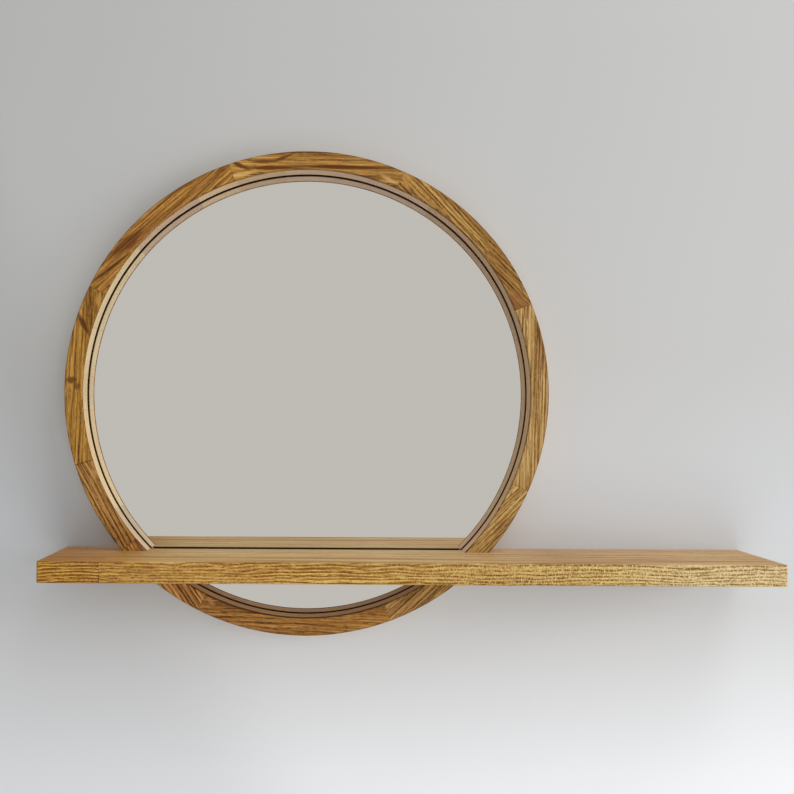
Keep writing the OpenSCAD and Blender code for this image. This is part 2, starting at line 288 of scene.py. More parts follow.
@dataclass
class Board:
    """One board: how it lay in the tree and where it is on the mirror.

    Attributes:
        name: Name for its material.
        finish: Its finish.
        centre: Middle of the board, in metres.
        turn: Direction of the grain in the wall plane, in degrees from +X to +Z.
        pith: Place of the tree's middle off the board's middle: along the grain, into
            the wall and across the grain, in millimetres.
        seed: Picks the board out of the tree: boards with other seeds look different.
        stains_and_light: Colour that the oil and the wood's own tone multiply the board's colours by,
        or several at places along X in millimetres. On some boards they also hold painted light and
        shade.
        seams: Glued joints that show on the board.
        marks: Knots, dark lines and patches.
        top_stains_and_light: Stains of the faces that look up, where those differ: painted light, as the
            shelf's top is paler than its front edge.
        node: Adds a node to its material.
        place: Socket of the object coordinates.
        along: Socket of the board coordinates: x runs along the grain, z across it.
    """

    name: str
    finish: OakFinish
    centre: Vector
    turn: float
    pith: Point
    seed: float
    stains_and_light: Stains
    seams: tuple[Seam, ...]
    marks: tuple[Mark, ...]
    top_stains_and_light: Stops = ()
    node: NodeAdder = field(init=False)
    place: Socket = field(init=False)
    along: Socket = field(init=False)

    def material(self) -> Material:
        """Builds the board's wood as a solid pattern.

        Returns:
            The material.
        """
        material, node = blank_material(self.name)
        self.node, self.place = node, node("TexCoord", out="Object")
        self.along = node("Mapping", {
            "Vector": self.place, "Location": self.centre, "Rotation": (0, -math.radians(self.turn), 0),
        }, vector_type="TEXTURE")
        noise = self.noises()
        mask = self.masks(noise, self.growth_rings(noise["drift"]))

        finish = self.finish
        paint = {part: linear(code) for part, code in zip(OAK_PARTS, finish.tone.value)}
        # Each mask with the colour that shows there, from the bottom up
        layers = [(mask[name], paint[part]) for name, part in (
            ("bands", "heart"), ("early", "early"), ("late", "ray"), ("pale", "ray"),
            ("dark", "pore"), ("pores", "pore"), ("flecks", "ray"),
        )]
        layers += self.mark_layers() + self.seam_layers() + self.edge_layers(paint["pore"])
        colour: Any = paint["late"]
        for share, layer in layers:
            colour = node("Mix", {0: share, MIX_A: colour, MIX_B: layer}, MIX_OUT, data_type="RGBA")

        # The pores are sunk, a little deeper than real ones so that they show
        height = node("Math", {0: noise["streaks"], 1: 0.4}, operation="MULTIPLY")
        height = node("Math", {0: height, 1: mask["pores"]}, operation="SUBTRACT")
        bump = node("Bump", {"Strength": 0.4, "Distance": 0.4 * MM, "Height": height})
        # Oil stays on the dense wood and sinks into the pores, which look duller
        rough = node("MapRange", {
            "Value": mask["pores"], "To Min": finish.roughness, "To Max": finish.roughness + 0.25,
        })
        shader = node("BsdfPrincipled", {
            "Base Color": self.stained(colour), "Roughness": rough, "IOR": 1.45,
            "Specular IOR Level": finish.sheen_level, "Normal": bump,
        })
        node("OutputMaterial", {"Surface": shader})
        return material

    def noises(self) -> dict[str, Socket]:
        """Adds the noises that all patterns are cut from, stretched along the grain.

        Returns:
            Sockets of the noises by name.
        """
        # Features' length and width in millimetres, and the noise's detail. The pores
        # are really 0.3 mm wide, and are drawn wider to show.
        sizes = {
            "drift": ((110, 29), 2.0), "weight": ((300, 16), 1.0), "bands": ((250, 11), 3.0),
            "streaks": (self.finish.streak_size, 3.0), "pores": (self.finish.pore_size, 2.0),
            "flecks": (self.finish.fleck_size, 2.0),
        }
        noise = {}
        for index, (name, ((length, width), detail)) in enumerate(sizes.items()):
            stretched = self.node("Mapping", {
                "Vector": self.along, "Scale": (1 / (length * MM), 1 / (width * MM), 1 / (width * MM)),
            })
            noise[name] = self.node("TexNoise", {
                "Vector": stretched, "W": self.seed + 3.7 * index,
                "Scale": 1.0, "Detail": detail, "Roughness": 0.58,
            }, "Color" if name == "drift" else "Fac", noise_dimensions="4D")
        return noise

    def growth_rings(self, drift: Socket) -> Socket:
        """Cuts the board out of the tree's growth rings.

        Args:
            drift: Socket of the noise that the rings wander by.

        Returns:
            Socket of the way through a ring, from 0 to 1.
        """
        # The tree grew unevenly, so its rings wander off their circles
        drift = self.node("VectorMath", {0: drift, 1: (0.5, 0.5, 0.5)}, operation="SUBTRACT")
        swing = 2 * self.finish.wander * MM
        bent = self.node("VectorMath", {
            0: drift, 1: (0.0, swing, swing), 2: self.along,
        }, operation="MULTIPLY_ADD")
        # The trunk leans a little off the board, so the rings run out of it slowly
        leaning = self.node("Mapping", {
            "Vector": bent,
            "Location": tuple(offset * MM for offset in self.pith),
            "Rotation": (0, math.radians(0.8), math.radians(0.5)),
            "Scale": (0.12, 1, 1),
        })
        ring_scale = WAVE_PERIOD / (self.finish.ring_gap * MM)
        return self.node("TexWave", {
            "Vector": leaning, "Scale": ring_scale, "Distortion": 1.2,
            "Detail": 2.0, "Detail Scale": WAVE_WOBBLE / ring_scale, "Detail Roughness": 0.6,
        }, "Fac", wave_type="RINGS", rings_direction="X", wave_profile="SAW")

    def masks(self, noise: dict[str, Socket], rings: Socket) -> dict[str, Socket]:
        """Works out where each colour of the board shows.

        Args:
            noise: Sockets of the noises by name.
            rings: Socket of the way through a growth ring.

        Returns:
            Sockets of the masks by name.
        """
        finish = self.finish
        # The late wood is palest right after the pores, and darkens towards the next ring
        curves = {
            "early": ((0.0, 0.9), (0.1, 1), (0.26, 0.55), (0.42, 0.06), (0.86, 0), (1.0, 0.75)),
            "late": ((0.32, 0), (0.48, 0.7), (0.66, 0.25), (0.85, 0)),
        }
        mask = {
            name: self.node("ValToRGB", {0: rings}, stops=[(at, grey(value)) for at, value in curve])
            for name, curve in curves.items()
        }
        normal = self.node("TexCoord", out="Normal")
        forward = self.node("SeparateXYZ", {0: normal}, "Y")
        # Source, its values where the mask starts and is full, and the mask's two strengths.
        # Faces that look up, down or sideways may be calmer than the front. Some rings are
        # broad and dark, others hardly show. Pores crowd in the early wood. Ray flecks are
        # short pale ribbons across the rings.
        spans = {
            "facing": (forward, -0.5, -0.9, finish.calm, 1.0),
            "weight": (noise["weight"], 0.38, 0.6, 0.35 * finish.figure, finish.figure),
            "bands": (noise["bands"], 0.46, 0.58, 0.0, 0.8 * finish.figure),
            "pale": (noise["streaks"], 0.52, 0.62, 0.0, finish.streak),
            "dark": (noise["streaks"], 0.47, 0.37, 0.0, 0.8 * finish.streak),
            "pores": (noise["pores"], 0.5, 0.62, 0.0, 1.0),
            "crowd": (mask["early"], 0.0, 1.0, 0.45 * finish.pore, finish.pore),
            "flecks": (noise["flecks"], 0.52, 0.6, 0.0, finish.fleck),
        }
        products = [
            ("weight", "facing"), ("early", "weight"), ("late", "weight"),
            ("pale", "facing"), ("dark", "facing"), ("pores", "facing"), ("pores", "crowd"),
        ]
        if finish.fleck_span:
            x = self.node("SeparateXYZ", {0: self.place}, "X")
            spans["side"] = (x, finish.fleck_span[0] * MM, finish.fleck_span[1] * MM, 0.0, 1.0)
            products += [("side", "facing"), ("flecks", "side")]
        for name, (source, start, full, low, high) in spans.items():
            mask[name] = self.node("MapRange", {
                "Value": source, "From Min": start, "From Max": full, "To Min": low, "To Max": high,
            })
        for name, factor in products:
            mask[name] = self.node("Math", {0: mask[name], 1: mask[factor]}, operation="MULTIPLY")
        return mask

    def mark_layers(self) -> Layers:
        """Draws the knots, dark lines and patches.

        Returns:
            Mask and colour of each mark.
        """
        layers = []
        for mark in self.marks:
            (x, z), (length, width), (y, depth) = mark.centre, mark.reach, mark.depth
            near = self.node("Mapping", {
                "Vector": self.place,
                "Location": (x * MM, y * MM, z * MM),
                "Rotation": (0, -math.radians(self.turn + mark.turn), 0),
                "Scale": (length * MM, depth * MM, width * MM),
            }, vector_type="TEXTURE")
            wobble = self.node("TexNoise", {"Vector": near, "Scale": 1.6, "Detail": 3.0}, "Fac")
            far = self.node("VectorMath", {0: near}, "Value", operation="LENGTH")
            edge = self.node("Math", {0: wobble, 1: 1.2, 2: far}, operation="MULTIPLY_ADD")
            mask = self.node("MapRange", {
                "Value": edge, "From Min": 1.1, "From Max": 1.7, "To Min": mark.strength, "To Max": 0.0,
            })
            layers.append((mask, linear(mark.colour)))
        return layers

    def seam_layers(self) -> Layers:
        """Draws the glue lines at the board's joints.

        Returns:
            Mask and colour of each line.
        """
        layers = []
        for seam in self.seams:
            *normal, distance = seam.plane
            across = self.node("VectorMath", {
                0: self.place, 1: normal,
            }, "Value", operation="DOT_PRODUCT")
            off = self.node("Math", {0: across, 1: distance}, operation="SUBTRACT")
            gap = self.node("Math", {0: off}, operation="ABSOLUTE")
            mask = self.node("MapRange", {
                "Value": gap, "From Min": 0.3 * seam.width * MM, "From Max": seam.width * MM,
                "To Min": seam.strength, "To Max": 0.0,
            })
            if seam.inside is not None:
                shown = self.node("Math", {
                    0: self.axis_distance(), 1: seam.inside * MM,
                }, operation="LESS_THAN")
                mask = self.node("Math", {0: mask, 1: shown}, operation="MULTIPLY")
            layers.append((mask, linear(seam.colour)))
        return layers

    def edge_layers(self, paint: Colour) -> Layers:
        """Darkens the ring's broken edges, which cut across the grain and drink more oil; on the inner
        edge this also paints shade where the face meets the inner wall.

        Args:
            paint: Colour of the dark edges.

        Returns:
            Mask and colour of each edge that is dark.
        """
        layers = []
        edges = ((self.finish.outer_edge, OUTER_EDGE), (self.finish.inner_edge_shade, INNER_EDGE))
        for strength, (start, end) in edges:
            if strength:
                layers.append((self.node("MapRange", {
                    "Value": self.axis_distance(), "From Min": start * MM, "From Max": end * MM,
                    "To Max": strength,
                }), paint))
        return layers

    def axis_distance(self) -> Socket:
        """Returns the socket of the distance from the ring's axis, in metres."""
        flat = self.node("VectorMath", {0: self.place, 1: (1, 0, 1)}, operation="MULTIPLY")
        return self.node("VectorMath", {0: flat}, "Value", operation="LENGTH")

    def stained(self, colour: Socket) -> Socket:
        """Lays the board's stain over its pattern, with the painted light that some boards' colours hold.

        Args:
            colour: Socket of the pattern's colour.

        Returns:
            Socket of the stained colour.
        """
        stain = self.stain_ramp(self.stains_and_light)
        # Painted light: faces that look up can take other colours than the rest, as the shelf's top takes
        # paler ones than its front edge
        if self.top_stains_and_light:
            normal = self.node("TexCoord", out="Normal")
            upward = self.node("SeparateXYZ", {0: normal}, "Z")
            upward = self.node("MapRange", {"Value": upward, "From Min": 0.5, "From Max": 0.9})
            top = self.stain_ramp(self.top_stains_and_light)
            stain = self.node("Mix", {0: upward, MIX_A: stain, MIX_B: top}, MIX_OUT, data_type="RGBA")
        return self.node("Mix", {
            0: 1.0, MIX_A: colour, MIX_B: stain,
        }, MIX_OUT, data_type="RGBA", blend_type="MULTIPLY")

    def stain_ramp(self, stains_and_light: Stains) -> Socket | Colour:
        """Spreads stain colours, and the painted light that some of them hold, along X.

        Args:
            stains_and_light: One colour, or several, each with its X in millimetres.

        Returns:
            The only colour, or the socket of the changing one.
        """
        if isinstance(stains_and_light, str):
            return linear(stains_and_light)
        first, last = stains_and_light[0][0], stains_and_light[-1][0]
        x = self.node("SeparateXYZ", {0: self.place}, "X")
        share = self.node("MapRange", {"Value": x, "From Min": first * MM, "From Max": last * MM})
        return self.node("ValToRGB", {0: share}, stops=[
            ((at - first) / (last - first), linear(code)) for at, code in stains_and_light
        ])


# --- Other finishes ---


@dataclass(frozen=True)
class SilveredGlass:
    """Silvered float glass: a flat, clean mirror with a faint warm cast.

    Attributes:
        tint: Colour of what it reflects, as an sRGB hex value.
    """

    tint: str = "#f2f1ef"

    def material(self) -> Material:
        """Builds the mirror.

        Returns:
            The material of the pane.
        """
        material, node = blank_material("Silvered float glass")
        shader = node("BsdfPrincipled", {
            "Base Color": linear(self.tint), "Metallic": 1.0, "Roughness": 0.0,
        })
        node("OutputMaterial", {"Surface": shader})
        return material


@dataclass(frozen=True)
class SpeckledFinish:
    """Plain finish with a fine speckle, such as foam, hardboard or plating.

    Attributes:
        name: Common name of the material.
        base: Main colour as an sRGB hex value.
        speck: Colour of the specks.
        grain: Size of the specks in millimetres.
        roughness: Mean roughness.
        metallic: 1 for a metal, 0 for anything else.
        relief: Height of the surface's relief in millimetres.
        specular: Specular level.
    """

    name: str
    base: str
    speck: str
    grain: float
    roughness: float
    metallic: float = 0.0
    relief: float = 0.05
    specular: float = 0.5

    def material(self) -> Material:
        """Builds the finish.

        Returns:
            The material.
        """
        material, node = blank_material(self.name)
        place = node("TexCoord", out="Object")
        fineness = 1 / (self.grain * MM)
        speckle = node("TexNoise", {
            "Vector": place, "Scale": fineness, "Detail": 3.0, "Roughness": 0.6,
        }, "Fac")
        cloud = node("TexNoise", {"Vector": place, "Scale": 0.08 * fineness, "Detail": 2.0}, "Fac")
        fine = node("MapRange", {"Value": speckle, "From Min": 0.35, "From Max": 0.7})
        broad = node("MapRange", {"Value": cloud, "From Min": 0.2, "From Max": 0.8, "To Min": 0.3})
        share = node("Math", {0: fine, 1: broad}, operation="MULTIPLY")
        colour = node("Mix", {
            0: share, MIX_A: linear(self.base), MIX_B: linear(self.speck),
        }, MIX_OUT, data_type="RGBA")
        rough = node("MapRange", {
            "Value": speckle, "To Min": self.roughness - 0.05, "To Max": self.roughness + 0.05,
        })
        bump = node("Bump", {"Strength": 0.4, "Distance": self.relief * MM, "Height": speckle})
        shader = node("BsdfPrincipled", {
            "Base Color": colour, "Roughness": rough, "Metallic": self.metallic,
            "Specular IOR Level": self.specular, "Normal": bump,
        })
        node("OutputMaterial", {"Surface": shader})
        return material


# Closed-cell foam strip: matt, almost black, with fine open cells at its cut edge. Its near-black also
# serves as painted shade of the gap at the glass
BLACK_FOAM = SpeckledFinish("Black closed-cell foam", "#1e0b03", "#2b1207", 0.5, 0.94, specular=0.02)
# Standard hardboard: pressed smooth on the face, brown with darker fibres
HARDBOARD = SpeckledFinish("Smooth brown hardboard", "#7d5b3d", "#5f432b", 0.9, 0.62, relief=0.03)
# Yellow-passivated zinc on steel screws: bright, a little golden
ZINC = SpeckledFinish("Yellow zinc plating", "#cfc6a4", "#b5a878", 0.25, 0.34, 1.0, 0.01)
# Bright zinc-plated steel strip, rolled and punched: grey with a soft spangle
PLATE_STEEL = SpeckledFinish("Zinc-plated steel", "#b9bcbf", "#989ca1", 0.6, 0.36, 1.0, 0.01)
# Turned beech dowel: pale, with fine dark flecks
BEECH = SpeckledFinish("Turned beech", "#d9b98c", "#b98f60", 0.7, 0.6, relief=0.04)


# --- Sub-assemblies ---


def ray_plane(angle: float) -> Plane:
    """Returns the plane through the ring's axis at an angle in degrees."""
    a = math.radians(angle)
    return -math.sin(a), 0.0, math.cos(a), 0.0


def middle(node_name: str) -> Vector:
    """Returns the middle of a CAD node's box."""
    low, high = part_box(node_name)
    return (low + high) / 2


def face_oak(
    tone: OakTone, ring_gap: float, figure: float, wander: float,
    pore: float = 0.9, inner_edge_shade: float = 0.15,
) -> OakFinish:
    """Picks the finish of a board in the ring's face, where the figure is strong.

    Args:
        tone: Colours of the board.
        ring_gap: Distance between two growth rings, in millimetres.
        figure: Strength of the growth rings.
        wander: How far the rings wander, in millimetres.
        pore: Strength of the pores.
        inner_edge_shade: How dark the ring's broken inner edge is, with its painted shade.

    Returns:
        The finish.
    """
    return OakFinish(
        tone, ring_gap, figure, wander, 1.0, (70.0, 1.6), pore,
        sheen_level=0.3, outer_edge=0.5, inner_edge_shade=inner_edge_shade,
    )


def wall_oak(tone: OakTone) -> OakFinish:
    """Returns the finish of a board behind the face, which shows plain fine grain."""
    return OakFinish(tone, 3.2, 0.45, 3.0, 0.3, (60.0, 1.6), 0.2, (10.0, 1.0), fleck=0.1)


@dataclass(frozen=True)
class Segment:
    """One segment of the ring.

    Attributes:
        finish: Oak of the board.
        grain: Direction of the grain, in degrees from +X to +Z.
        pith: Place of the pith off the board's middle, in millimetres.
        stains_and_light: Colour that the board's own are multiplied by, or several along X.
        marks: Knots, dark lines and patches.
        seams: Glued joints between its ends.
    """

    finish: OakFinish
    grain: float
    pith: Point
    stains_and_light: Stains = "#ffffff"
    marks: tuple[Mark, ...] = ()
    seams: tuple[Seam, ...] = ()


@dataclass
class Ring:
    """The ring: a front and a rear layer of straight-grained segments.

    Attributes:
        front: Segments of the front layer, from the right one up and round.
        rear: Segments of the rear layer. They show on the ring's inner wall.
        front_joints: Angles of the front layer's joints, each with its strength.
        rear_joints: The same of the rear layer.
        rebate_painted_shade: Dark colour on the edge of the lip that covers the glass: painted shade of
            the narrow gap at the glass.
        seed_step: Difference between the seeds of two boards in a layer.
        rear_seed: Seed of the rear layer's first board. The front layer starts at 0.
    """

    front: tuple[Segment, ...] = (
        Segment(face_oak(OakTone.HONEY, 4.2, 0.85, 6), 134, (0, 26, 70), (
            (140, "#e0d8c6"), (195, "#d0cab9"), (240, "#b8a98f"), (265, "#beb3a1"),
        ), (
            Mark((259, 115), (20, 9), "#b27a48", 0.6),
            Mark((130, 250), (10, 2.2), "#6b4018", 0.8),
            Mark((205, 214), (30, 3.5), "#9a6830", 0.5),
        )),
        Segment(face_oak(OakTone.AMBER, 7.5, 0.75, 7, 0.5), 179, (0, 40, -55), (
            (-70, "#efecdf"), (-30, "#e2dcce"), (70, "#d3cdc6"),
        ), (
            Mark((40, 280.4), (76, 3), "#6c3a04", 1.0),
            Mark((-46, 279), (38, 3.2), "#6c3a04", 1.0, 3),
            Mark((-84, 281.8), (17, 3), "#6c3a04", 1.0, -21),
            Mark((-54, 286.8), (22, 2.4), "#6b3d14", 0.9, 3),
            Mark((-31, 291.4), (15, 2.4), "#6b3d14", 0.9, 22),
            Mark((-83, 270.4), (21, 3.2), "#f0c680", 0.6, 14),
            Mark((101, 265), (14, 2.8), "#eec484", 0.7, -26),
        )),
        Segment(face_oak(OakTone.HONEY, 4.0, 0.65, 7, 0.6), 41.5, (0, 22, 62), "#d8c49f", (
            Mark((-222, 185), (34, 9), "#6e3c10", 0.8),
            Mark((-190, 213), (24, 5), "#7c4a1c", 0.4),
            Mark((-243, 154), (36, 2.2), "#5a3210", 0.9, -3),
            Mark((-150, 257), (36, 2.2), "#6b4018", 0.6, -10),
        )),
        Segment(face_oak(OakTone.AMBER, 5.0, 0.6, 8, 0.6), 88, (0, 35, 50), "#dbd2ae", (
            Mark((-277, 85), (18, 3.8), "#64380f", 0.95, 31),
            Mark((-291, 15.3), (5, 8), "#6a3c10", 0.85),
            Mark((-284, 7.4), (5, 5), "#6e4214", 0.7),
            Mark((-258, 114.7), (9, 4.5), "#d8ab6c", 0.6),
        )),
        Segment(face_oak(OakTone.UMBER, 4.4, 1.0, 5), -61, (0, 50, 64), "#dcd1bb", (
            Mark((-263, -101), (8, 4), "#dcae72", 0.6),
        )),
        # The lower segments darken their inner edges more: painted shade where the face meets the shaded
        # inner wall
        Segment(face_oak(OakTone.UMBER, 4.2, 1.0, 4, 0.9, 0.6), -55, (0, 42, -70), "#ffefdf"),
        Segment(face_oak(OakTone.AMBER, 3.6, 0.7, 7, 0.9, 0.75), -3, (0, 30, 58), "#dacbc0", (
            Mark((-117, -258), (7, 3.4), "#dca468", 0.65, -40),
        )),
        # Painted shade: this segment darkens towards its lower end, where it lies in shade
        Segment(face_oak(OakTone.HONEY, 4.2, 0.8, 6, 0.9, 0.3), 43.5, (0, 36, -60), (
            (127, "#d5ccca"), (245, "#e5e9ea"),
        ), (
            Mark((241, -162), (16, 2.2), "#8a5028", 0.7, 8),
        )),
        Segment(face_oak(OakTone.STRAW, 4.6, 0.9, 7, 0.5), 89, (0, 20, 66), "#d3cbb8", (
            Mark((287, 76), (20, 2.6), "#70441a", 0.75, 12),
        )),
    )
    # Their pale tones carry painted light as well as the boards' own tone
    rear: tuple[Segment, ...] = (
        Segment(wall_oak(OakTone.TAN), 126, (0, 60, 30), "#f2f5f5"),
        Segment(wall_oak(OakTone.ROSE), 166.5, (0, 50, -30), "#fcfaf4"),
        Segment(wall_oak(OakTone.ROSE), 198, (0, 60, 20), (
            (-137, "#ffffec"), (-90, "#fffeea"), (-86, "#f2eeda"), (-29, "#f2f0dc"),
        )),
        Segment(wall_oak(OakTone.ROSE), 219.5, (0, 70, 40), "#ebeae3"),
        Segment(wall_oak(OakTone.CREAM), 252, (0, 60, -40), "#fffcfa", (
            Mark((-278, 4), (34, 40), "#b08e68", 0.3, depth=(-16, 60)),
        ), (Seam(ray_plane(163), 0.3),)),
        Segment(wall_oak(OakTone.CREAM), 297, (0, 50, 30), (
            (-278, "#f8eee5"), (-238.5, "#fff8f2"), (-235.5, "#e4dee3"), (-219, "#e4dee3"),
            (-206, "#f3eaec"),
        ), seams=(Seam(ray_plane(211.5), 0.3),)),
        Segment(wall_oak(OakTone.TAN), 345, (0, 60, 45), "#fffcf6"),
        Segment(wall_oak(OakTone.TAN), 32.5, (0, 55, -35)),
        Segment(wall_oak(OakTone.TAN), 80.5, (0, 65, 25), "#fffff1"),
    )
    front_joints: tuple[tuple[float, float], ...] = (
        (22, 0.45), (66.5, 0.3), (109, 0.3), (154, 0.4), (197.5, 0.85),
        (220.8, 0.5), (243.8, 0.3), (290.5, 0.3), (336.5, 0.4),
    )
    rear_joints: tuple[tuple[float, float], ...] = (
        (15, 0.25), (57, 0.15), (96, 0.15), (119.5, 0.25), (139.5, 0.25),
        (184.5, 0.25), (230.2, 0.25), (279, 0.15), (326, 0.15),
    )

    # Painted shade: the lip's rear edge is coloured dark for the shade of the narrow gap at the glass,
    # which the mirror shows too
    rebate_painted_shade: Seam = Seam((0.0, 1.0, 0.0, -0.0112), 0.9, 0.8, "#441a04", inside=284.5)
    seed_step: float = 5.3
    rear_seed: float = 40.0

    def dress(self) -> None:
        """Gives every segment its oak."""
        layers = (
            ("front", self.front, self.front_joints, 0.0, ()),
            ("rear", self.rear, self.rear_joints, self.rear_seed, (self.rebate_painted_shade,)),
        )
        for layer, segments, joints, first_seed, paint in layers:
            for index, segment in enumerate(segments):
                name = f"{layer}_segment_{index + 1}"
                ends = (joints[index], joints[(index + 1) % len(joints)])
                seams = (Seam(ray_plane(angle), strength) for angle, strength in ends)
                dress(name, Board(
                    f"Oiled oak, {layer} segment {index + 1}", segment.finish, middle(name),
                    segment.grain, segment.pith, index * self.seed_step + first_seed, segment.stains_and_light,
                    (*seams, *segment.seams, *paint), segment.marks,
                ).material())


@dataclass
class Glazing:
    """The mirror pane, the strip that it is bedded on and its hardboard back."""

    glass: SilveredGlass = SilveredGlass()

    def dress(self) -> None:
        """Gives the pane, the strip and the back their materials."""
        dress("mirror_pane", self.glass.material())
        dress("bedding_strip", BLACK_FOAM.material())
        dress("back_board", HARDBOARD.material())


@dataclass
class Shelf:
    """The shelf, glued up from staves.

    Attributes:
        front: Oak of the two staves in the front edge, which shows short coarse pores.
        inner: Oak of the staves behind them, which show a calm top.
        front_stains: How the front edge's tone changes from left to right.
        inner_stains_and_light: How the top's colour changes from left to right: its tone, with painted
            light that keeps the top paler than the front edge and palest along the middle.
        first_seed: Seed of the first stave.
        seed_step: Difference between the seeds of two staves.
    """

    front: OakFinish = OakFinish(
        OakTone.SAND, 3.3, 1.4, 7.0, 0.6, (18.0, 1.2), 1.0, (3.0, 1.0), 0.85, (1.3, 3.4),
        fleck_span=(50, 200), calm=0.18, roughness=0.55, sheen_level=0.25,
    )
    inner: OakFinish = OakFinish(
        OakTone.SAND, 7.0, 0.4, 6.0, 0.35, (60.0, 2.4), 0.35, sheen_level=0.2,
    )
    front_stains: Stops = (
        (-305, "#d9b967"), (-190, "#dec28c"), (20, "#ecd499"), (220, "#d7c397"),
        (350, "#e0d5b1"), (470, "#e6e1d4"),
    )
    # The top's tone, with painted light that keeps it palest along the middle and paler than the front
    # edge
    inner_stains_and_light: Stops = (
        (-290, "#be9440"), (-235, "#cda76e"), (-160, "#ede0cb"), (-60, "#f5ebe0"),
        (100, "#f9f3ee"), (200, "#f0e2da"), (300, "#d4c0b4"), (480, "#e1d2cc"),
    )
    first_seed: float = 90.0
    seed_step: float = 3.7

    def dress(self) -> None:
        """Gives every stave its oak."""
        short_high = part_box("shelf_front_stave_short")[1]
        middle_low, middle_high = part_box("shelf_middle_stave")
        front_seam = Seam((0.0, 1.0, 0.0, middle_low.y), 0.1)
        rear_seam = Seam((0.0, 1.0, 0.0, middle_high.y), 0.1)
        end_seam = Seam((1.0, 0.0, 0.0, short_high.x), 0.25)
        # The short joint in the front edge has opened a little in its lower half
        opened = Mark((short_high.x / MM, -216), (0.9, 6), "#4a2c10", 0.7, depth=(-120, 9))
        # Painted shade: the back edge near the glass is coloured dark for the shade in the narrow gap at
        # the glass, which the mirror shows
        back_edge_shade = Seam((0.0, 1.0, 0.0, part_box("shelf_rear_stave_centre")[1].y), 0.9, 1.0, "#24120a")
        # Each stave's place of the pith and the joints that show on it
        staves = {
            "shelf_front_stave_short": ((0, 30, 60), (front_seam, end_seam)),
            "shelf_front_stave_long": ((0, 45, -40), (front_seam, end_seam)),
            "shelf_middle_stave": ((0, -30, 55), (front_seam, rear_seam)),
            "shelf_rear_stave_left": ((0, 20, 70), (rear_seam,)),
            "shelf_rear_stave_centre": ((0, 60, -50), (rear_seam, back_edge_shade)),
            "shelf_rear_stave_right": ((0, 35, -62), (rear_seam,)),
        }
        for index, (name, (pith, seams)) in enumerate(staves.items()):
            oak, stains_and_light, marks, top_stains_and_light = self.inner, self.inner_stains_and_light, (), ()
            # The front staves' tops take the top's colours with their painted light
            if "front" in name:
                oak, stains_and_light, marks, top_stains_and_light = self.front, self.front_stains, (opened,), stains_and_light
            dress(name, Board(
                "Oiled oak, " + name.replace("_", " "), oak, middle(name), 0.0, pith,
                self.first_seed + self.seed_step * index, stains_and_light, seams, marks, top_stains_and_light,
            ).material())


# --- Fasteners ---


def only(*pieces: Piece) -> None:
    """Selects some objects and nothing else.

    Args:
        pieces: The objects, of which the first becomes active.
    """
    bpy.ops.object.select_all(action="DESELECT")
    for piece in pieces:
        piece.select_set(True)
    bpy.context.view_layer.objects.active = pieces[0]


def primitive(add: Callable[..., Any], **options: Any) -> Piece:
    """Adds a primitive, with nothing else selected.

    Args:
        add: Operator that adds it.
        options: Its sizes and place.

    Returns:
        The new object.
    """
    bpy.ops.object.select_all(action="DESELECT")
    add(**options)
    return bpy.context.object


def edit(action: str = "SELECT") -> None:
    """Opens the active object in edit mode, with everything or nothing selected."""
    bpy.ops.object.mode_set(mode="EDIT")
    bpy.ops.mesh.select_all(action=action)


def close_edit() -> None:
    """Turns all faces of the edited mesh outwards and leaves edit mode."""
    bpy.ops.mesh.select_all(action="SELECT")
    bpy.ops.mesh.normals_make_consistent(inside=False)
    bpy.ops.object.mode_set(mode="OBJECT")


def apply_place(location: bool = False, rotation: bool = False, scale: bool = False) -> None:
    """Moves the named parts of the selected objects' placing into their meshes."""
    bpy.ops.object.transform_apply(location=location, rotation=rotation, scale=scale)


def widen(factor: float) -> None:
    """Scales what is selected about the Z axis."""
    bpy.ops.transform.resize(value=(factor, factor, 1), center_override=(0, 0, 0))


def push(depth: float, factor: float = 1.0) -> None:
    """Extrudes the selected face down and scales it about the Z axis.

    Args:
        depth: Distance to go down, in millimetres.
        factor: Scale of the new face.
    """
    bpy.ops.mesh.extrude_region_move(TRANSFORM_OT_translate={"value": (0, 0, -depth)})
    widen(factor)


@dataclass(frozen=True)
class Fastener:
    """A screw or dowel that is modelled once and copied to each of its places.

    Attributes:
        node: CAD node that has the plain ones.
        slot: The record's material slot; not used.
        diameter: Outer diameter in millimetres.
    """

    node: str
    slot: str
    diameter: float

    def places(self) -> list[tuple[Vector, float]]:
        """Finds the plain solids of the CAD node, which all lie along Y.

        Returns:
            Middle of the end nearest the wall, in metres, and length in millimetres.
        """
        groups: list[list[Vector]] = []
        for vertex in bpy.data.objects[self.node].data.vertices:
            for group in groups:
                if (vertex.co.xz - group[0].xz).length < 2.5 * self.diameter * MM:
                    group.append(vertex.co.copy())
                    break
            else:
                groups.append([vertex.co.copy()])
        found = []
        for group in groups:
            low = Vector(min(co[axis] for co in group) for axis in range(3))
            high = Vector(max(co[axis] for co in group) for axis in range(3))
            end = Vector(((low.x + high.x) / 2, high.y, (low.z + high.z) / 2))
            found.append((end, (high.y - low.y) / MM))
        return found

    def outline(self, length: float) -> Piece:
        """Models one fastener in millimetres, from z = 0 down. Each kind has its own."""
        raise NotImplementedError

    def build(self, material: Material) -> None:
        """Models the fastener, copies it to its places and hides the plain ones.

        Args:
            material: Material of the finished fasteners.
        """
        places = self.places()
        first = self.outline(places[0][1])
        first.data.materials.append(material)
        # From the drawing's -Z to the mirror's -Y, and from millimetres to metres
        first.rotation_euler = (math.radians(-90), 0, 0)
        first.scale = (MM, MM, MM)
        apply_place(rotation=True, scale=True)
        for index, (place, _) in enumerate(places):
            copy = first.copy()
            copy.data = first.data.copy()
            copy.name = f"{self.node[:-1]}_{index + 1}"
            bpy.context.scene.collection.objects.link(copy)
            copy.location = place
            only(copy)
            apply_place(location=True)
            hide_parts(self.node)
            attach(copy, BODY)
            LOG.info("%s: %s", copy.name, material.name)
        bpy.data.objects.remove(first)


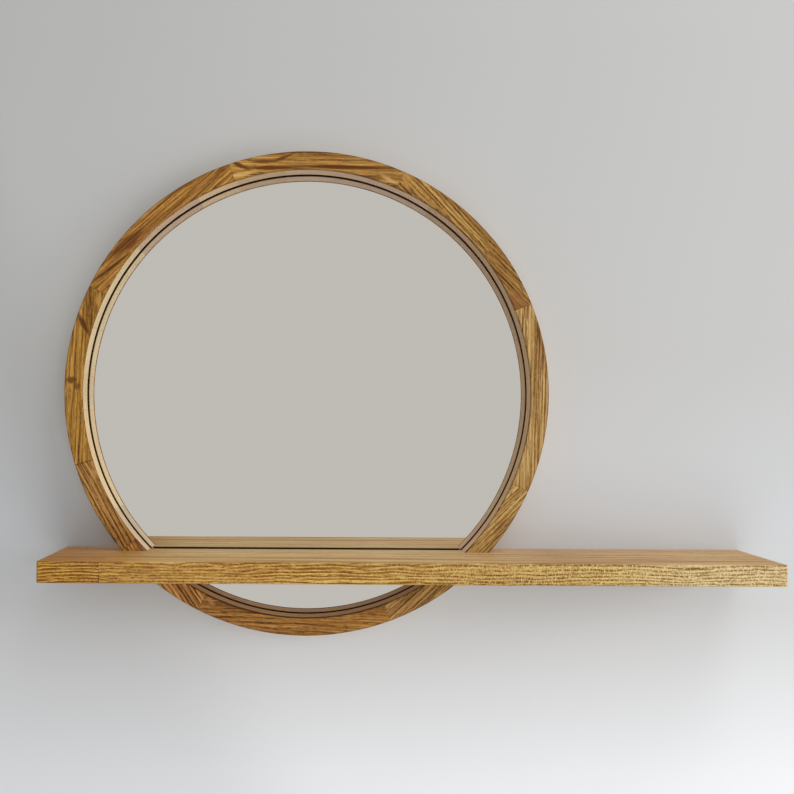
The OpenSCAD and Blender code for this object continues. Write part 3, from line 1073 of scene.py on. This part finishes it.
@dataclass(frozen=True)
class CountersunkScrew(Fastener):
    """Countersunk wood screw with a cross recess and a coarse thread.

    Attributes:
        pitch: Pitch of the thread in millimetres.
        plain: Share of the length that has no thread.
        head: Radius of the head in diameters, as the sizes that follow.
        shank: Radius of the plain shank and of the thread's crest.
        core: Radius of the thread's core.
        cone: Depth of the countersunk head.
        rim: Height of the head's straight rim.
        neck: Length over which the shank narrows to the core.
    """

    pitch: float = 1.35
    plain: float = 0.3
    head: float = 0.93
    shank: float = 0.5
    core: float = 0.34
    cone: float = 0.45
    rim: float = 0.06
    neck: float = 0.12

    def outline(self, length: float) -> Piece:
        """Models the screw in millimetres: head, core, point, recess and thread.

        Args:
            length: Length of the screw in millimetres.

        Returns:
            The screw, with its head's top at z = 0.
        """
        size = self.diameter
        head, shank, core = self.head * size, self.shank * size, self.core * size
        screw = primitive(
            bpy.ops.mesh.primitive_circle_add, vertices=32, radius=head, fill_type="NGON"
        )
        edit()
        push(self.rim * size)
        push((self.cone - self.rim) * size, shank / head)
        push(self.plain * length - self.cone * size)
        push(self.neck * size, core / shank)
        push((1 - self.plain) * length - (1 + self.neck) * size)
        push(size, 0.15)
        close_edit()
        for turn in (0, 90):
            self.cut_slot(screw, head, turn)
        thread = self.thread(self.plain * length, length - size, core, shank)
        only(screw, thread)
        bpy.ops.object.join()
        bpy.ops.object.shade_smooth_by_angle(angle=math.radians(32))
        return screw

    def cut_slot(self, screw: Piece, head: float, turn: float) -> None:
        """Cuts one arm of the cross recess into the head.

        Args:
            screw: Screw that gets it.
            head: Radius of the head in millimetres.
            turn: Direction of the arm in degrees.
        """
        cutter = primitive(
            bpy.ops.mesh.primitive_cube_add, size=1, rotation=(0, 0, math.radians(turn))
        )
        # Half of its height is above the head, and it tapers to its foot
        cutter.scale = (1.15 * head, 0.24 * head, 1.3 * head)
        apply_place(rotation=True, scale=True)
        edit("DESELECT")
        bpy.ops.object.mode_set(mode="OBJECT")
        for polygon in cutter.data.polygons:
            polygon.select = polygon.normal.z < -0.9
        bpy.ops.object.mode_set(mode="EDIT")
        widen(0.45)
        bpy.ops.object.mode_set(mode="OBJECT")
        only(screw)
        recess = screw.modifiers.new("Recess", "BOOLEAN")
        recess.operation = "DIFFERENCE"
        recess.solver = "EXACT"
        recess.object = cutter
        bpy.ops.object.modifier_apply(modifier=recess.name)
        bpy.data.objects.remove(cutter)

    def thread(self, start: float, end: float, core: float, crest: float) -> Piece:
        """Winds the thread's ridge with the Screw modifier and closes its ends.

        Args:
            start: Depth at which the thread starts, in millimetres.
            end: Depth at which it ends.
            core: Radius of the core.
            crest: Radius of the crest.

        Returns:
            The ridge.
        """
        upright = math.radians(90)
        ridge = primitive(
            bpy.ops.mesh.primitive_circle_add, vertices=3, radius=1, fill_type="NOTHING",
            rotation=(upright, upright, 0),
        )
        apply_place(rotation=True)
        # The tooth's crest points outwards, and its foot is sunk into the core
        tip = max(vertex.co.x for vertex in ridge.data.vertices)
        foot = min(vertex.co.x for vertex in ridge.data.vertices)
        ridge.scale = ((crest - 0.88 * core) / (tip - foot), 1, 0.3 * self.pitch)
        apply_place(scale=True)
        tip = max(vertex.co.x for vertex in ridge.data.vertices)
        ridge.location = (crest - tip, 0, -start - 0.4 * self.pitch)
        apply_place(location=True)
        wind = ridge.modifiers.new("Thread", "SCREW")
        wind.axis = "Z"
        wind.screw_offset = -self.pitch
        wind.iterations = max(1, int((end - start) / self.pitch) - 1)
        wind.steps = wind.render_steps = 16
        bpy.ops.object.modifier_apply(modifier=wind.name)
        edit()
        bpy.ops.mesh.remove_doubles(threshold=0.0005)
        bpy.ops.mesh.fill_holes(sides=4)
        close_edit()
        return ridge


@dataclass(frozen=True)
class FlutedDowel(Fastener):
    """Fluted dowel with chamfered ends.

    Attributes:
        flutes: Number of its flutes.
        groove: Radius at the bottom of a flute, as a share of the dowel's.
        tip: Radius of its ends, as a share of the dowel's.
        chamfer: Length of the chamfer in millimetres.
    """

    flutes: int = 18
    groove: float = 0.93
    tip: float = 0.84
    chamfer: float = 1.2

    def outline(self, length: float) -> Piece:
        """Models the dowel in millimetres.

        Args:
            length: Length of the dowel in millimetres.

        Returns:
            The dowel, with one end at z = 0.
        """
        dowel = primitive(
            bpy.ops.mesh.primitive_circle_add, vertices=2 * self.flutes,
            radius=0.5 * self.diameter, fill_type="NGON",
        )
        edit("DESELECT")
        bpy.ops.object.mode_set(mode="OBJECT")
        for vertex in dowel.data.vertices:
            vertex.select = vertex.index % 2 == 0
        bpy.ops.object.mode_set(mode="EDIT")
        bpy.ops.mesh.select_mode(type="VERT")
        widen(self.groove)
        bpy.ops.mesh.select_all(action="SELECT")
        widen(self.tip)
        push(self.chamfer, 1 / self.tip)
        push(length - 2 * self.chamfer)
        push(self.chamfer, self.tip)
        close_edit()
        bpy.ops.object.shade_smooth_by_angle(angle=math.radians(20))
        return dowel


@dataclass
class Fixings:
    """Keyhole plates, all screws, and the dowels that pin the ring to the shelf."""

    screws: tuple[Fastener, ...] = (
        CountersunkScrew("back_screws", "zinc_screws", 3.0),
        CountersunkScrew("keyhole_screws", "zinc_screws", 3.0),
        CountersunkScrew("leg_screws", "zinc_screws", 4.5, 2.1),
    )
    dowels: Fastener = FlutedDowel("leg_dowels", "beech_dowel", 8.0)

    def build(self) -> None:
        """Models the screws and dowels, and gives the plates their plating."""
        zinc = ZINC.material()
        for screw in self.screws:
            screw.build(zinc)
        self.dowels.build(BEECH.material())
        steel = PLATE_STEEL.material()
        for name in ("keyhole_plate_left", "keyhole_plate_right"):
            dress(name, steel)


# --- Studio ---


@dataclass(frozen=True)
class Lamp:
    """Large soft square lamp, which neither the camera nor the mirror sees.

    Attributes:
        name: Name of the lamp.
        place: Where it stands, in metres.
        size: Side of its square, in metres.
        power: Its power in watts.
        aim: Point that it faces.
    """

    name: str
    place: Point
    size: float
    power: float
    aim: Point = (0, 0, 0)

    def build(self) -> None:
        """Adds the lamp to the scene."""
        light = bpy.data.lights.new(self.name, "AREA")
        light.shape = "SQUARE"
        light.size = self.size
        light.energy = self.power
        lamp = bpy.data.objects.new(self.name, light)
        lamp.location = self.place
        lamp.rotation_euler = (Vector(self.aim) - Vector(self.place)).to_track_quat("-Z", "Y").to_euler()
        lamp.visible_camera = False
        lamp.visible_glossy = False
        bpy.context.scene.collection.objects.link(lamp)


@dataclass
class Studio:
    """Plain pale wall and floor, soft light and the photograph's camera.

    Attributes:
        wall_place: Middle of the wall, just behind the mirror, in metres.
        wall_size: Width and height of the wall.
        wall_painted_light: Colours of the wall by height, in metres, from the top down: painted light
            that pales the wall towards the floor.
        surround: Tone of the room that the camera and the mirror see.
        room_light: Strength of the room's even light.
        floor_drop: How far the floor lies below the middle of the ring, in metres.
        lamps: The lamps.
        viewpoint: Where the camera stands, in metres.
        roll: Its roll in degrees.
        lens: Focal length on a 36 mm sensor, in millimetres.
        shift: Shift of the lens to the side and up, as shares of the sensor's width.
    """

    wall_place: Point = (0, 0.0008, -0.3)
    wall_size: tuple[float, float] = (2.7, 3.4)
    wall_painted_light: Stops = (
        (0.45, "#b8b8b7"), (0.05, "#bdbdbc"), (-0.16, "#c6c8cb"), (-0.27, "#c9cacb"),
        (-0.37, "#dadbdd"), (-0.48, "#e8eaed"), (-0.62, "#f0f2f5"),
    )
    surround: str = "#c9c6c1"
    room_light: float = 0.54
    floor_drop: float = 2.0
    lamps: tuple[Lamp, ...] = (
        Lamp("Window", (2.4, -1.6, 0.2), 1.8, 14.7),
        Lamp("Window edge", (2.6, -0.8, 0.1), 1.2, 21.7),
        Lamp("Skylight", (0.9, -0.7, 2.0), 1.2, 20.4, (0.2, 0, -0.1)),
        Lamp("Room", (0.3, -2.6, 0.3), 1.8, 5.8),
        Lamp("Floor bounce", (0.4, -2.0, -1.2), 1.4, 11.6, (0.1, 0, -0.4)),
    )
    viewpoint: Point = (0.0259, -1.1054, -0.0382)
    roll: float = -0.32
    lens: float = 39.18
    shift: tuple[float, float] = (0.0878, 0.0345)

    def wall(self) -> None:
        """Adds the wall that the mirror hangs on. From behind it is not there."""
        wall = primitive(
            bpy.ops.mesh.primitive_plane_add, size=1, location=self.wall_place,
            rotation=(math.radians(90), 0, 0),
        )
        wall.name = "stage_wall"
        wall.scale = (*self.wall_size, 1)
        material, node = blank_material("Matt wall paint with painted light")
        position = node("NewGeometry", out="Position")
        behind = node("NewGeometry", out="Backfacing")
        # Painted light: the wall's colour pales towards the floor, standing in for the brighter light on
        # the lower wall
        height = node("SeparateXYZ", {0: position}, "Z")
        top, bottom = self.wall_painted_light[0][0], self.wall_painted_light[-1][0]
        share = node("MapRange", {"Value": height, "From Min": top, "From Max": bottom})
        paint = node("ValToRGB", {0: share}, stops=[
            ((top - at) / (top - bottom), linear(code)) for at, code in self.wall_painted_light
        ])
        # Painted shade: it is a little darker at the left, away from the lamps at the right
        slant = node("VectorMath", {0: position, 1: (1, 0, 0.5)}, "Value", operation="DOT_PRODUCT")
        left = node("MapRange", {
            "Value": slant, "From Min": -0.2, "From Max": -0.4, "To Max": 0.8,
        }, interpolation_type="SMOOTHSTEP")
        paint = node("Mix", {
            0: left, MIX_A: paint, MIX_B: linear("#eeeeee"),
        }, MIX_OUT, data_type="RGBA", blend_type="MULTIPLY")
        cloud = node("TexNoise", {"Vector": position, "Scale": 6.0, "Detail": 3.0}, "Fac")
        cloud = node("MapRange", {"Value": cloud, "To Max": 0.04})
        paint = node("Mix", {0: cloud, MIX_A: paint, MIX_B: linear("#a9a8a5")}, MIX_OUT, data_type="RGBA")
        surface = node("BsdfPrincipled", {
            "Base Color": paint, "Roughness": 0.9, "Specular IOR Level": 0.2,
        })
        clear = node("BsdfTransparent")
        both = node("MixShader", {0: behind, 1: surface, 2: clear})
        node("OutputMaterial", {"Surface": both})
        wall.data.materials.append(material)
        wall.visible_diffuse = False
        wall.visible_glossy = False
        wall.visible_transmission = False
        wall.visible_shadow = False

    def floor(self) -> None:
        """Adds the floor well below the mirror."""
        floor = primitive(
            bpy.ops.mesh.primitive_plane_add, size=14, location=(0, 0, -self.floor_drop)
        )
        floor.name = "stage_floor"
        material, node = blank_material("Matt pale floor")
        place = node("TexCoord", out="Object")
        cloud = node("TexNoise", {"Vector": place, "Scale": 4.0, "Detail": 3.0}, "Fac")
        paint = node("Mix", {
            0: cloud, MIX_A: linear("#dcdbd8"), MIX_B: linear("#d8d7d3"),
        }, MIX_OUT, data_type="RGBA")
        surface = node("BsdfPrincipled", {
            "Base Color": paint, "Roughness": 0.9, "Specular IOR Level": 0.2,
        })
        node("OutputMaterial", {"Surface": surface})
        floor.data.materials.append(material)

    def world(self) -> None:
        """Lights the room evenly, and shows plain pale surroundings to camera and mirror."""
        world = bpy.data.worlds.new("Pale room")
        world.use_nodes = True
        world.node_tree.nodes.clear()
        node = partial(add_node, world.node_tree)
        seen = 0.0
        for ray in ("Is Camera Ray", "Is Glossy Ray", "Is Transmission Ray"):
            kind = node("LightPath", out=ray)
            seen = node("Math", {0: seen, 1: kind}, operation="MAXIMUM")
        colour = node("Mix", {
            0: seen, MIX_A: grey(self.room_light), MIX_B: linear(self.surround),
        }, MIX_OUT, data_type="RGBA")
        background = node("Background", {"Color": colour, "Strength": 1.0})
        node("OutputWorld", {"Surface": background})
        bpy.context.scene.world = world

    def camera(self) -> None:
        """Sets the camera where the photograph was taken from."""
        data = bpy.data.cameras.new("Photograph")
        data.sensor_width = 36.0
        data.lens = self.lens
        data.shift_x, data.shift_y = self.shift
        data.dof.use_dof = False
        camera = bpy.data.objects.new("Photograph", data)
        camera.location = self.viewpoint
        camera.rotation_euler = (math.radians(90), math.radians(self.roll), 0)
        bpy.context.scene.collection.objects.link(camera)
        bpy.context.scene.camera = camera

    def build(self) -> None:
        """Builds the whole studio."""
        self.camera()
        self.wall()
        self.floor()
        self.world()
        for lamp in self.lamps:
            lamp.build()
        bpy.context.scene.view_settings.view_transform = "Standard"


def main() -> None:
    """Dresses the frame, models the fasteners and builds the studio."""
    logging.basicConfig(level=logging.INFO, format="%(name)s: %(message)s")
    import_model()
    Ring().dress()
    Glazing().dress()
    Shelf().dress()
    Fixings().build()
    Studio().build()


if __name__ == "__main__":
    main()
